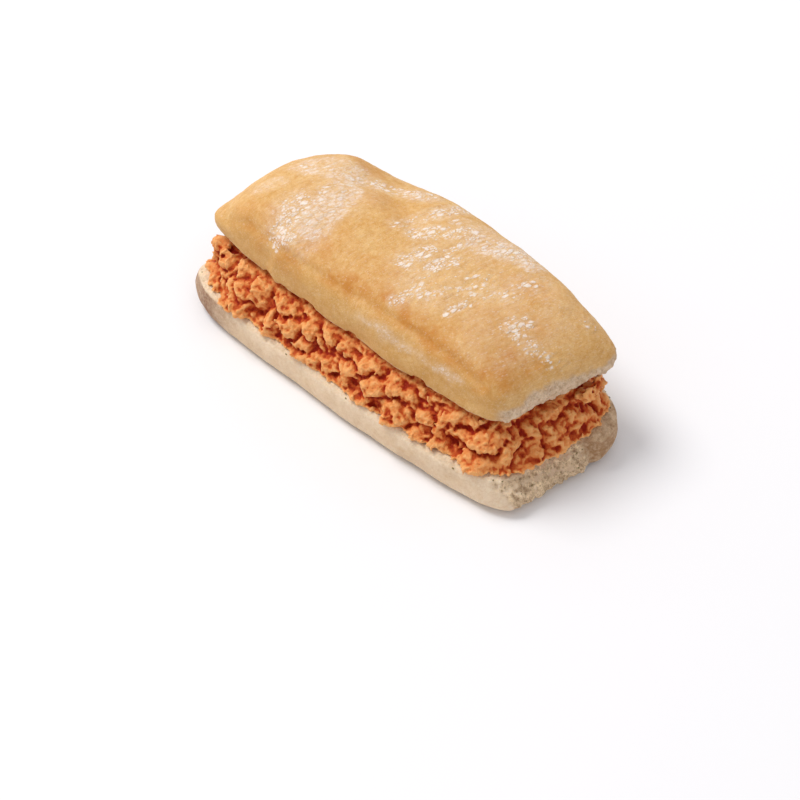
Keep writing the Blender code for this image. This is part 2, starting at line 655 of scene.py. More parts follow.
class Tree:
    """A node tree with short calls for the nodes that the finishes use; lengths in millimetres."""

    def __init__(self, tree: bpy.types.NodeTree) -> None:
        """Wraps a node tree."""
        self.tree = tree

    def node(self, kind: str, settings: dict | None = None, **inputs: object) -> bpy.types.Node:
        """Adds a node.

        Args:
            kind: the node's type, less its ShaderNode prefix.
            settings: the node's own properties.
            **inputs: sockets by name, with _ for a space: a value, or an output to link.

        Returns:
            The node.
        """
        made = self.tree.nodes.new("ShaderNode" + kind)
        for name, value in (settings or {}).items():
            setattr(made, name, value)
        for name, value in inputs.items():
            self.feed(made.inputs[name.replace("_", " ")], value)
        return made

    def feed(self, socket: bpy.types.NodeSocket, value: object) -> None:
        """Links an output to a socket, or sets the socket's own value.

        Args:
            socket: the input.
            value: an output or a plain value.
        """
        if isinstance(value, Output):
            self.tree.links.new(value.socket, socket)
        else:
            socket.default_value = value

    def fed(self, node: bpy.types.Node, *values: object, output: int | str = 0) -> Output:
        """Feeds a node's first sockets, in order, and gives one of its outputs.

        Args:
            node: the node.
            *values: values or outputs for its first sockets.
            output: the wanted output's number or name.

        Returns:
            That output.
        """
        for socket, value in zip(node.inputs, values, strict=False):
            self.feed(socket, value)
        return Output(self, node.outputs[output])

    def maths(self, operation: str, *values: object) -> Output:
        """The result of a Math node on some numbers or outputs."""
        return self.fed(self.node("Math", {"operation": operation}), *values)

    def vector_maths(self, operation: str, *values: object) -> Output:
        """The result of a VectorMath node on some vectors or outputs."""
        return self.fed(self.node("VectorMath", {"operation": operation}), *values)

    def mix(self, share: object, first: object, second: object) -> Output:
        """A colour between two colours, each an output or sRGB numbers of 255.

        Args:
            share: the second colour's share.
            first: a colour.
            second: a colour.

        Returns:
            The mixed colour.
        """
        made = self.node("Mix", {"data_type": "RGBA", "clamp_factor": True})
        for index, value in ((0, share), (6, first), (7, second)):
            self.feed(made.inputs[index], linear(value) if isinstance(value, tuple) else value)
        return Output(self, made.outputs[2])

    def blend(self, share: object, first: object, second: object) -> Output:
        """A value between two values."""
        made = self.node("Mix", {"data_type": "FLOAT"}, Factor=share, A=first, B=second)
        return Output(self, made.outputs[0])

    def smooth_step(self, value: object, low: object, high: object) -> Output:
        """Smooth share from 0 at low to 1 at high."""
        made = self.node("MapRange", {"interpolation_type": "SMOOTHSTEP"})
        return self.fed(made, value, low, high, output="Result")

    def place(self) -> Output:
        """The object's own coordinates."""
        own = Output(self, self.node("TexCoord").outputs["Object"])
        return self.vector_maths("MULTIPLY", own, (1000.0,) * 3)

    def drawn(self, stretch: float) -> Output:
        """Coordinates in which grains come out long in the streaks' direction.

        Args:
            stretch: how many times longer than wide a grain is.

        Returns:
            The coordinates.
        """
        turned = self.node(
            "VectorRotate",
            {"rotation_type": "Z_AXIS"},
            Vector=self.place(),
            Angle=-math.radians(STREAK_TURN),
        )
        return self.vector_maths("MULTIPLY", Output(self, turned.outputs[0]), (1 / stretch, 1.0, 1.0))

    def bent(self, place: Output, size: float, reach: float) -> Output:
        """Coordinates shifted at random by about reach over grains of a size.

        Args:
            place: the coordinates.
            size: size of a grain.
            reach: length of the shift.

        Returns:
            The coordinates.
        """
        bend = self.node("TexNoise", Vector=place, Scale=1 / size, Detail=2.0)
        shift = Output(self, bend.outputs["Color"])
        return self.vector_maths("MULTIPLY_ADD", shift, (2 * reach,) * 3, place)

    def noise(self, place: Output, size: object, detail: float = 2.0, rough: float = 0.5) -> Output:
        """Noise from 0 to 1 with grains of a size.

        Args:
            place: the coordinates.
            size: size of a grain.
            detail: how many finer layers it has.
            rough: each finer layer's share.

        Returns:
            The noise.
        """
        scale = self.maths("DIVIDE", 1.0, size)
        made = self.node("TexNoise", Vector=place, Scale=scale, Detail=detail, Roughness=rough)
        return Output(self, made.outputs["Fac"])

    def cells(self, place: Output, scale: object) -> tuple[Output, Output, Output]:
        """Distance to the nearest of some scattered points, and two random shares of its cell.

        Args:
            place: the coordinates.
            scale: cells to the millimetre.

        Returns:
            The distance and the two shares.
        """
        made = self.node("TexVoronoi", {"feature": "F1"}, Vector=place, Scale=scale)
        chance = self.node("SeparateColor", Color=Output(self, made.outputs["Color"]))
        found = (made.outputs["Distance"], *chance.outputs[:2])
        return tuple(Output(self, socket) for socket in found)

    def mask(self, mask: Mask) -> Output:
        """A share that the mesh carries."""
        return Output(self, self.node("Attribute", {"attribute_name": mask.value}).outputs["Fac"])

    def bump(self, distance: float, height: Output) -> Output:
        """Normals that a height from 0 to 1 gives over a distance."""
        made = self.node("Bump", Strength=0.8, Distance=distance * MM, Height=height)
        return Output(self, made.outputs["Normal"])


class Effect:
    """A shader effect that several materials share: a node group, built once."""

    def __init__(self, name: str, inputs: dict[str, float], outputs: tuple[str, ...]) -> None:
        """Makes an empty group with these value sockets.

        Args:
            name: the group's name.
            inputs: the names and values of its inputs.
            outputs: the names of its outputs.
        """
        self.group = bpy.data.node_groups.new(name, "ShaderNodeTree")
        sockets = self.group.interface
        for socket, value in inputs.items():
            made = sockets.new_socket(socket, in_out="INPUT", socket_type="NodeSocketFloat")
            made.default_value = value
        for socket in outputs:
            sockets.new_socket(socket, in_out="OUTPUT", socket_type="NodeSocketFloat")
        self.inside = Tree(self.group)
        given = self.group.nodes.new("NodeGroupInput").outputs
        self.given = [Output(self.inside, given[socket]) for socket in inputs]
        self.result = self.group.nodes.new("NodeGroupOutput").inputs

    def use(self, tree: Tree, **inputs: object) -> list[Output]:
        """Places the effect in a material's tree with its own values, and gives its outputs.

        Args:
            tree: the tree.
            **inputs: inputs by name, with _ for a space.

        Returns:
            Its outputs.
        """
        made = tree.tree.nodes.new("ShaderNodeGroup")
        made.node_tree = self.group
        for name, value in inputs.items():
            tree.feed(made.inputs[name.replace("_", " ")], value)
        return [Output(tree, socket) for socket in made.outputs]


def mottle_effect() -> Effect:
    """Soft uneven patches in two sizes, as a crust or a sauce has.

    Returns:
        The effect, with one mask.
    """
    effect = Effect("mottle", {"Size": 9.0, "Contrast": 1.0, "Offset": 0.0}, ("Mask",))
    t = effect.inside
    size, contrast, offset = effect.given
    place = t.vector_maths("ADD", t.place(), offset)
    broad = t.noise(place, size, 3.0, 0.55)
    small = t.noise(place, t.maths("DIVIDE", size, 5.0), 3.0, 0.6)
    centred = (broad * 0.62 + small * 0.38 - 0.5) * contrast
    t.feed(effect.result["Mask"], (centred * 3.0 + 0.5).clipped())
    return effect


def flour_effect() -> Effect:
    """Flour on a crust: flakes drawn out in one direction, a thin veil, and loose specks and dashes that
    are partly flour and partly painted glints.

    Returns:
        The effect, with a mask and a height.
    """
    inputs = {"Density": 0.5, "Veil": 0.0, "Flake Size": 2.0, "Dust": 0.5}
    effect = Effect("flour_dust", inputs, ("Mask", "Height"))
    t = effect.inside
    density, veil, flake_size, dust = effect.given
    drawn = t.drawn(1.8)
    place = t.bent(drawn, 1.5, 0.5)
    ragged = t.noise(drawn, 0.6, 3.0, 0.7) - 0.5
    grit = (t.noise(drawn, 0.42, 2.0, 0.6) * 2.2 - 0.15).clipped()
    cracks, layers = [], []
    for share, shrink in ((1.0, 0.0), (0.48, 0.12)):
        scale = t.maths("DIVIDE", 1.0, flake_size * share)
        distance, chance, width = t.cells(place, scale)
        edges = t.node("TexVoronoi", {"feature": "DISTANCE_TO_EDGE"}, Vector=place, Scale=scale)
        held = density - chance * 0.8 + ragged * 0.4
        held = t.smooth_step(held, shrink - 0.06, shrink + 0.26)
        reach = width * 0.3 + 0.5 + ragged * 0.6
        oval = t.smooth_step(distance, reach, reach - 0.42)
        cracks.append(t.smooth_step(Output(t, edges.outputs["Distance"]), 0.0, 0.16))
        layers.append(held * oval * cracks[-1])
    patchy = t.noise(place, 1.1, 2.0, 0.6) * 0.9 + 0.65
    flakes = (t.maths("MAXIMUM", *layers) * (patchy * grit)).clipped()
    flowing = t.noise(t.bent(t.drawn(2.2), 2.5, 0.8), 1.3, 4.0, 0.7)
    film = t.maths("MINIMUM", flowing * 2.1 - 0.5, 1.0) * (cracks[0] * 0.5 + 0.5)
    film = (film * veil).clipped()
    # Bright specks and dashes along the streaks: partly loose flour, partly painted glints
    distance, chance, width = t.cells(t.drawn(1.8), 1.15)
    chosen = chance + (t.noise(t.drawn(9.0), 0.9, 3.0, 0.6) - 0.5) * 1.6
    specks_and_glints = t.smooth_step(distance, width * 0.5, 0.0) * t.smooth_step(chosen, 0.5, 0.62)
    dashes_and_glints = t.noise(t.bent(t.drawn(3.2), 2.0, 0.5), 0.62, 2.0, 0.6)
    specks_and_glints = t.maths("MAXIMUM", specks_and_glints, t.smooth_step(dashes_and_glints, 0.56, 0.72) * 0.7)
    loose = film + specks_and_glints * (dust * (film + 0.36))
    t.feed(effect.result["Mask"], t.maths("MAXIMUM", flakes, loose).clipped())
    t.feed(effect.result["Height"], flakes + loose * 0.4)
    return effect


def pores_effect() -> Effect:
    """Open bubbles of bread crumb in two sizes.

    Returns:
        The effect, with a mask and a height.
    """
    effect = Effect("crumb_pores", {"Size": 1.6, "Openness": 0.5}, ("Mask", "Height"))
    t = effect.inside
    size, openness = effect.given
    bend = t.node("TexNoise", Vector=t.place(), Scale=0.8, Detail=2.0)
    place = t.vector_maths("ADD", t.place(), Output(t, bend.outputs["Color"]))
    found = []
    for share in (1.0, 0.42):
        distance, chance, _ = t.cells(place, t.maths("DIVIDE", 1.0, size * share))
        wide = chance * openness * 0.9
        found.append(t.smooth_step(distance, wide, wide * 0.35))
    pores = t.maths("MAXIMUM", found[0], found[1] * 0.7).clipped()
    t.feed(effect.result["Mask"], pores)
    t.feed(effect.result["Height"], t.maths("SUBTRACT", 1.0, pores))
    return effect


@dataclass(frozen=True)
class Effects:
    """The effects that the finishes place in their materials."""

    mottle: Effect = field(default_factory=mottle_effect)
    flour: Effect = field(default_factory=flour_effect)
    pores: Effect = field(default_factory=pores_effect)

    def patches(self, t: Tree, size: float, contrast: float, offset: float = 0.0) -> Output:
        """The mottle effect's mask in a material's tree."""
        return self.mottle.use(t, Size=size, Contrast=contrast, Offset=offset)[0]


@dataclass(frozen=True)
class BareMaterial:
    """A new material: its tree and the sockets of its shader."""

    name: str
    specular: float
    glow: float = 0.0
    glow_depths: tuple[float, float, float] = (1.0, 1.0, 1.0)

    def start(self) -> tuple[bpy.types.Material, Tree, bpy.types.bpy_prop_collection]:
        """Makes it, and sets the shader's gloss and how far light goes in, in millimetres.

        Returns:
            The material, its tree and its shader's inputs.
        """
        made = bpy.data.materials.new(self.name)
        made.use_nodes = True
        shader = made.node_tree.nodes["Principled BSDF"].inputs
        shader["Specular IOR Level"].default_value = self.specular
        if self.glow:
            shader["Subsurface Weight"].default_value = self.glow
            shader["Subsurface Radius"].default_value = [depth * MM for depth in self.glow_depths]
            shader["Subsurface Scale"].default_value = 1.0
        return made, Tree(made.node_tree), shader


@dataclass(frozen=True)
class BreadFinish:
    """Crust that is toasted, pale, dark with painted shade or floured by the mesh's shares, and open
    crumb where it is cut.
    """

    name: str
    crust: tuple[int, int, int]
    crust_light: tuple[int, int, int]
    toast: tuple[int, int, int]
    # The pale share's colour: the lid's front side; on the heel, painted shade at its -X end
    pale: tuple[int, int, int]
    crumb: tuple[int, int, int]
    pore: tuple[int, int, int]
    flour: tuple[int, int, int]
    # Strength of bright specks and dashes, partly loose flour and partly painted glints
    dust: float
    flour_cover: float
    roughness: float = 0.6
    mottle_size: float = 11.0
    specular: float = 0.3
    grain: float = 1.5
    relief: float = 0.65

    def material(self, effects: Effects) -> bpy.types.Material:
        """Builds the material.

        Args:
            effects: the shared node groups.

        Returns:
            A material that reads the shares flour, veil, toast, pale and crumb; the pale share also lays
            painted shade.
        """
        made, t, shader = BareMaterial(self.name, self.specular, 0.1, (1.6, 0.9, 0.45)).start()
        density, veil, open_crumb = (t.mask(m) for m in (Mask.FLOUR, Mask.VEIL, Mask.CRUMB))
        flour, flour_height = effects.flour.use(t, Density=density, Veil=veil, Dust=self.dust)
        pores, pore_height = effects.pores.use(t, Size=1.5, Openness=0.62)
        crust = t.mix(flour * self.flour_cover, self.crust_colour(t, effects), self.flour)
        t.feed(shader["Base Color"], t.mix(open_crumb, crust, self.crumb_colour(t, effects, pores)))
        skin = t.noise(t.place(), 0.45, 3.0, 0.6)
        crust_height = flour_height * 0.9 + skin * self.relief
        height = t.blend(open_crumb, crust_height, pore_height * 1.6 + skin)
        t.feed(shader["Normal"], t.bump(0.2, height))
        rough = t.maths("MAXIMUM", flour * 0.25 + self.roughness, open_crumb * 0.9)
        t.feed(shader["Roughness"], rough)
        return made

    def crust_colour(self, t: Tree, effects: Effects) -> Output:
        """The crust's colour before any flour: mottled, streaked, toasted and pale by turns, and dark
        where shade is painted.

        Args:
            t: the material's tree.
            effects: the shared node groups.

        Returns:
            The colour.
        """
        broad, fine = effects.patches(t, self.mottle_size, 0.9), effects.patches(t, 2.0, 1.1, 31.0)
        tone = broad * 0.62 + fine * 0.5
        tone = tone + (t.noise(t.drawn(7.0), 1.1, 4.0, 0.65) - 0.5) * 0.9
        tone = tone + (t.noise(t.drawn(1.8), 0.34, 3.0, 0.7) - 0.5) * self.grain
        crust = t.mix((tone - 0.06).clipped(), self.crust, self.crust_light)
        browning = effects.patches(t, 6.0, 1.2, 57.0) + 0.3
        crust = t.mix((t.mask(Mask.TOAST) * browning).clipped(), crust, self.toast)
        # The pale share lays the pale colour, which on the heel is painted shade
        return t.mix(t.mask(Mask.PALE_AND_SHADE), crust, t.mix(tone * 0.6, self.pale, crust))

    def crumb_colour(self, t: Tree, effects: Effects, pores: Output) -> Output:
        """The open crumb's colour, darker in its bubbles.

        Args:
            t: the material's tree.
            effects: the shared node groups.
            pores: mask of the bubbles.

        Returns:
            The colour.
        """
        fine, broad = effects.patches(t, 2.4, 1.5, 83.0), effects.patches(t, 7.0, 1.2, 91.0)
        crumb = t.mix((fine * 0.6 + broad * 0.4 - 0.14).clipped(), self.crumb, self.pore)
        return t.mix(pores * 0.45, crumb, self.pore)


@dataclass(frozen=True)
class SauceFinish:
    """Creamy orange sauce on shredded meat: pale on the ridges and deep red in the hollows, partly its
    own colour and partly painted shade.
    """

    name: str = "orange_sauce"
    ridge: tuple[int, int, int] = (236, 170, 106)
    body: tuple[int, int, int] = (222, 138, 74)
    shade: tuple[int, int, int] = (190, 80, 28)
    hollow: tuple[int, int, int] = (146, 26, 0)
    roughness: float = 0.47

    def material(self, effects: Effects) -> bpy.types.Material:
        """Builds the material.

        Args:
            effects: the shared node groups.

        Returns:
            A material that reads the share hollow.
        """
        made, t, shader = BareMaterial(self.name, 0.14, 0.12, (1.4, 0.4, 0.15)).start()
        mottle, broad = effects.patches(t, 2.4, 1.0), effects.patches(t, 13.0, 1.0, 19.0)
        hollow = t.mask(Mask.HOLLOW) + (mottle - 0.5) * 0.16
        hollow = (hollow + (broad - 0.5) * 0.2).clipped()
        # Colour by depth: paler on ridges, deep red in hollows, partly the sauce's own colour and partly
        # painted shade
        tone = t.mix(t.smooth_step(hollow, 0.08, 0.5), self.ridge, self.body)
        tone = t.mix(t.smooth_step(hollow, 0.5, 0.8), tone, self.shade)
        tone = t.mix(t.smooth_step(hollow, 0.78, 0.98), tone, self.hollow)
        t.feed(shader["Base Color"], tone)
        place = t.bent(t.place(), 1.6, 0.5)
        nubs = t.node("TexVoronoi", {"feature": "SMOOTH_F1"}, Vector=place, Scale=1.0, Smoothness=0.3)
        height = t.noise(t.place(), 0.5, 3.0, 0.65) * 0.7 - Output(t, nubs.outputs["Distance"])
        t.feed(shader["Normal"], t.bump(0.4, height))
        t.feed(shader["Roughness"], mottle * 0.18 + self.roughness)
        return made


@dataclass(frozen=True)
class PlainFinish:
    """A matt finish of one colour with soft uneven patches, for flecks and the floor."""

    name: str
    colour: tuple[int, int, int]
    second: tuple[int, int, int]
    roughness: float
    size: float

    def material(self, effects: Effects) -> bpy.types.Material:
        """Builds the material from the shared effects.

        Args:
            effects: the shared node groups.

        Returns:
            The material.
        """
        made, t, shader = BareMaterial(self.name, 0.25).start()
        patches = effects.patches(t, self.size, 0.8)
        t.feed(shader["Base Color"], t.mix(patches, self.colour, self.second))
        shader["Roughness"].default_value = self.roughness
        return made


# ---- What the parts have in common ----


def turn_about_z(points: np.ndarray, degrees: float) -> np.ndarray:
    """Points turned about the Z axis."""
    c, s = math.cos(math.radians(degrees)), math.sin(math.radians(degrees))
    return points @ np.array(((c, s, 0.0), (-s, c, 0.0), (0.0, 0.0, 1.0)))


def dress(piece: bpy.types.Object, material: bpy.types.Material) -> None:
    """Gives a piece this material and no other."""
    piece.data.materials.clear()
    piece.data.materials.append(material)


def enlist(piece: bpy.types.Object, slot: Slot, *nodes: str) -> bpy.types.Object:
    """Sets a finished piece on the frame's body and hides the solids that it replaces.

    Args:
        piece: the finished piece.
        slot: the record's slot that it takes its finish from; not used.
        *nodes: the frame's solids that it stands for.

    Returns:
        The piece.
    """
    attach(piece, BODY)
    if nodes:
        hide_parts(*nodes)
    return piece


class Part:
    """A sculpted part of the sandwich, which takes the place of one solid of the frame."""

    slot: Slot
    node: str
    triangles: int
    finish: BreadFinish | SauceFinish

    def shape(self) -> Sculpt:
        """Builds the part's form."""
        raise NotImplementedError

    def paint(self, sculpt: Sculpt) -> None:
        """Paints the shares that the finish reads."""
        raise NotImplementedError

    def build(self, effects: Effects) -> bpy.types.Object:
        """Shapes, thins out, paints and dresses the part.

        Args:
            effects: the shared node groups.

        Returns:
            The piece, in place of the frame's own solid.
        """
        piece = self.shape().piece
        thin_out(piece, self.triangles)
        self.paint(Sculpt(piece))
        dress(piece, self.finish.material(effects))
        return enlist(piece, self.slot, self.node)


@dataclass(frozen=True)
class Patch:
    """A soft oval area on the crust, in millimetres: its middle, half sizes, turn and strength."""

    x: float
    y: float
    half_length: float
    half_width: float
    turn: float
    strength: float

    def share(self, points: np.ndarray) -> np.ndarray:
        """Strength of the area at each of N by 3 points, fading out over its edge.

        Args:
            points: N by 3 array, in metres.

        Returns:
            N values.
        """
        c, s = math.cos(math.radians(self.turn)), math.sin(math.radians(self.turn))
        dx, dy = points[:, 0] / MM - self.x, points[:, 1] / MM - self.y
        along, across = (dx * c + dy * s) / self.half_length, (dy * c - dx * s) / self.half_width
        return self.strength * ramp(np.hypot(along, across), 1.3, 0.7)


@dataclass(frozen=True)
class Line:
    """A line along the crust, in millimetres: its course, its half width and its strength.

    The course's points have two numbers for a line seen in plan, or three for one that also
    keeps to a height.
    """

    course: tuple[tuple[float, ...], ...]
    half_width: float
    strength: float

    def share(self, points: np.ndarray) -> np.ndarray:
        """Strength of the line at each of N by 3 points, fading out over its half width.

        Args:
            points: N by 3 array, in metres.

        Returns:
            N values.
        """
        course = np.array(self.course)
        own = points[:, : course.shape[1]] / MM
        gaps = [distance_to(own, start, end) for start, end in itertools.pairwise(course)]
        return self.strength * np.exp(-((np.min(gaps, axis=0) / self.half_width) ** 2))


@dataclass(frozen=True)
class Streak:
    """Flour drawn along a straight course, in millimetres: thick flakes with a thin veil round them."""

    start: tuple[float, float]
    end: tuple[float, float]
    half_width: float
    flakes: float
    veil: float = 0.35

    def share(self, points: np.ndarray, spread: float) -> np.ndarray:
        """Share from 0 to 1 of each point that lies within the half width times a spread."""
        gap = distance_to(points[:, :2] / MM, np.array(self.start), np.array(self.end))
        return ramp(gap / self.half_width, 1.25 * spread, 0.55 * spread)


def distance_to(points: np.ndarray, start: np.ndarray, end: np.ndarray) -> np.ndarray:
    """Each point's distance from the straight line between a start and an end.

    Args:
        points: N by K array.
        start: one end, K numbers.
        end: the other end.

    Returns:
        N distances.
    """
    run = end - start
    along = np.clip((points - start) @ run / (run @ run), 0, 1)
    return np.linalg.norm(points - start - along[:, None] * run, axis=1)


def strongest(areas: tuple[Patch | Line, ...], points: np.ndarray) -> np.ndarray:
    """The strongest share of several areas or lines at each point."""
    return np.max([area.share(points) for area in areas], axis=0)


# ---- The lid ----


@dataclass
class Lid(Part):
    """The upper half of the roll: a domed, floured crust over a level cut face."""

    slot: Slot = Slot.LID
    node: str = "top_bread"
    triangles: int = 180_000
    voxel: float = 0.58 * MM
    dome_steps: int = 5
    dome_sharpness: float = 3.6
    widest_at: float = 0.22
    mounds: tuple[Mound, ...] = (
        Mound(-82, 27, 22, 20, -3.4),
        Mound(-34, 30, 18, 24, -3.6),
        Mound(-45, 37, 12, 13, -7.2),
        Mound(20, 12, 34, 26, 1.2),
        Mound(84, 4, 26, 70, -4.0),
        Mound(-56, -2, 15, 26, 1.6),
    )
    creases: tuple[Line, ...] = (
        Line(((-57, 36), (-48, 24), (-42, 8), (-39, -8), (-36, -20)), 6.0, 0.7),
        Line(((-40, -12), (-36, -20), (-31, -25)), 3.0, 0.3),
        Line(((-80, -31, 43), (-72, -30, 48), (-65, -29, 51), (-46, -30, 50)), 2.4, 0.9),
        Line(((-46, -30, 50), (-30, -29, 51), (-8, -28, 52), (8, -27, 53)), 2.4, 0.8),
        Line(((8, -27, 53), (22, -26, 53), (42, -25, 52), (56, -25, 48)), 2.2, 1.0),
    )
    notches: tuple[Patch, ...] = (
        Patch(-50, -32, 3.0, 6, 0, 1.6),
        Patch(-42, -32, 2.0, 6, 0, 0.7),
        Patch(-28, -33, 3.5, 6, 0, 1.3),
        Patch(-5, -33, 2.2, 6, 0, 1.4),
        Patch(30, -31, 3.0, 6, 0, 1.6),
        Patch(79, 16, 4, 6, 0, 1.5),
    )
    streaks: tuple[Streak, ...] = (
        Streak((-50, -24), (-54, -11), 5.6, 0.9, 0.5),
        Streak((-43, -15), (-47, 6), 5.2, 0.35, 1.0),
        Streak((-53, 0), (-53, 3), 2.0, 0.6),
        Streak((-70, 12), (-53, 20), 5.5, 0.35, 0.75),
        Streak((-74, -12), (-72, -6), 3.0, 0.0, 0.4),
        Streak((-40, -28), (-36, -18), 3.4, 0.1, 0.3),
        Streak((-44, 24), (-25, 33), 3.8, 0.75, 0.5),
        Streak((-20, 6), (-15, 19), 2.4, 0.55),
        Streak((-13, 24), (-10, 36), 3.2, 0.7, 0.4),
        Streak((-10, 9), (4, 25), 3.6, 1.0),
        Streak((5, 10), (9, 24), 1.4, 0.8),
        Streak((-3, -5), (0, 7), 3.0, 1.0),
        Streak((7, -1), (10, 8), 3.0, 1.0),
        Streak((-5, -8), (3, -6), 1.5, 0.5),
        Streak((-4, 27), (6, 33), 2.4, 0.3, 0.5),
        Streak((11, 25), (29, 33), 5.0, 0.6, 0.85),
        Streak((8, -22), (11, -13), 2.2, 0.9),
        Streak((14, -8), (26, 8), 8.0, 0.4, 0.25),
        Streak((27, -14), (29, -4), 1.6, 0.7),
        Streak((36, 12), (40, 24), 5.0, 0.33, 0.3),
        Streak((47, -1), (51, 7), 3.0, 0.8),
        Streak((52, -1), (66, 2), 2.8, 0.65),
        Streak((66, 3), (78, 10), 3.4, 0.42, 0.35),
        Streak((64, 28), (68, 30), 2.4, 0.5, 0.45),
        Streak((66, -26), (68, -18), 1.8, 0.1, 0.5),
    )
    dustings: tuple[Patch, ...] = (
        Patch(12, 6, 26, 20, 72, 0.24),
        Patch(52, 4, 26, 24, 60, 0.2),
        Patch(-48, 8, 22, 16, 90, 0.15),
    )
    light_lines: tuple[Line, ...] = (
        Line(((-2, -31, 47), (8, -31, 48), (18, -30, 46), (32, -30, 47), (46, -28, 46)), 1.9, 0.6),
        Line(((76, -12, 40), (80, 0, 40), (83, 14, 39)), 3.2, 0.6),
    )
    brown: tuple[Line, ...] = (
        Line(((-72, -29, 48), (-62, -29, 50), (-54, -29, 50), (-46, -30, 50), (-39, -30, 50)), 4.2, 0.9),
        Line(((-62, -33, 46), (-50, -33, 46), (-38, -32, 46)), 5.0, 0.75),
        Line(((-31, -25, 54), (-25, -27, 53), (-20, -28, 52)), 2.6, 0.6),
        Line(((-21, -27, 53), (-12, -26, 53), (-3, -23, 54), (3, -22, 55)), 5.4, 0.95),
        Line(((3, -23, 54), (14, -23, 54), (26, -24, 53), (38, -25, 52)), 5.4, 0.9),
        Line(((38, -25, 52), (44, -25, 51), (51, -26, 50), (60, -26, 48)), 4.6, 0.95),
    )
    tans: tuple[Patch, ...] = (
        Patch(-66, -24, 11, 5, 5, 0.4),
        Patch(-28, -14, 6, 8, 80, 0.25),
        Patch(-30, 14, 7, 12, 80, 0.25),
        Patch(-58, 31, 12, 4, 0, 0.4),
        Patch(30, -21, 16, 4, 0, 0.3),
        Patch(63, -15, 16, 14, 40, 0.75),
        Patch(-8, -14, 12, 6, 20, 0.3),
        Patch(40, 20, 12, 6, 20, 0.35),
        Patch(44, -6, 24, 12, 60, 0.32),
        Patch(-34, -22, 9, 6, 0, 0.6),
        Patch(36, -19, 9, 5, 20, 0.5),
    )
    finish: BreadFinish = BreadFinish(
        "golden_floured_crust",
        crust=(200, 145, 70),
        crust_light=(225, 184, 124),
        toast=(196, 130, 52),
        pale=(196, 148, 80),
        flour=(238, 224, 212),
        crumb=(228, 202, 172),
        pore=(172, 136, 100),
        dust=0.85,
        flour_cover=0.95,
        grain=1.9,
        relief=1.0,
    )
    end_lean: float = 5.0 * MM
    corner_cut: tuple[float, float] = (2.8 * MM, 1.6 * MM)
    front_step: float = 1.2 * MM
    front_wave: float = 0.9 * MM
    rim_tuck: float = 1.8 * MM
    rim_wave: float = 0.45
    swell_depth: float = 0.5
    dent_depth: float = 0.2
    pimple_height: float = 0.05
    torn_depth: float = 0.7
    ridge_spread: float = 1.4
    flake_spread: float = 1.1
    veil_spread: float = 1.7

    def shape(self) -> Sculpt:
        """Builds the lid's form: dome, hump, valley and cut face, on an even mesh.

        Returns:
            The lid's points and normals.
        """
        steps = self.dome_steps
        dome = [shoulder(step, steps, self.dome_sharpness) for step in range(steps)]
        section = [(reach, LID_CUT + LID_HEIGHT * height) for reach, height in dome]
        section += [(1.0, LID_CUT + LID_HEIGHT * self.widest_at), (0.985, LID_CUT)]
        section += [(0.6, LID_CUT), (0.0, LID_CUT)]
        cage = Cage(LID_PLAN, tuple(section), LID_CUT)
        sculpt = skinned(cage.build("lid_crust", self.mounds, LID_HEIGHT), self.voxel, 3)
        self.slump(sculpt)
        self.wrinkle(sculpt)
        return sculpt

    def slump(self, sculpt: Sculpt) -> None:
        """Slopes the +X end, steps the front face back, and lifts the cut rim at its notches.

        Args:
            sculpt: the piece's points and normals, which are moved.
        """
        p = sculpt.points
        x, y, z = p.T
        risen = (z - LID_CUT) / LID_HEIGHT
        x -= ramp_mm(x, 40, 80) * np.clip(risen, 0, 1) * self.end_lean
        self.round_left_end(p, risen)
        corner = ramp_mm(x, 40, 62) * ramp_mm(y, 14, 32) * ramp(risen, 0.15, 0.6)
        p[:, :2] -= corner[:, None] * self.corner_cut
        front = ramp_mm(y, -20, -30)
        y += front * ramp_mm(x, -47, -52) * self.front_step
        y -= front * ramp(-risen, -0.45, -0.1) * Grain(26, 2, 15).at(p) * self.front_wave
        low = ramp(z, LID_CUT + 6 * MM, LID_CUT)
        y -= front * low * bell(x, 58, 13) * self.rim_tuck
        x -= ramp_mm(x, 60, 70) * bell(y, -6, 11) * low * self.rim_tuck
        rim = ramp(LID_PLAN.share_out(p), 0.86, 0.96)
        wave = Grain(7, 2, 17).at(p * (1, 1, 0)) * self.rim_wave * rim
        z += (strongest(self.notches, p) + wave) * low * MM
        sculpt.write()

    def round_left_end(self, points: np.ndarray, risen: np.ndarray) -> None:
        """Draws in the -X end above its widest line, its two corners, and the rim below.

        Args:
            points: N by 3 array, in metres.
            risen: each point's share of the lid's height.
        """
        x, y, z = points.T
        left, front, back = ramp_mm(x, -58, -87), ramp_mm(y, -8, -33), ramp_mm(y, 8, 36)
        above, below = ramp(risen, 0.16, 0.46), ramp(risen, 0.3, 0.02)
        widest = np.exp(-(((risen - 0.08) / 0.2) ** 2))
        z -= left * above * 1.2 * MM
        x += left * above * (1.4 + 2.8 * front + 2.4 * back) * MM
        x += left * below * (2.0 - 2.0 * front) * MM
        x -= left * front * widest * 3.0 * MM
        y += left * front * (below * 0.8 + 0.4) * MM

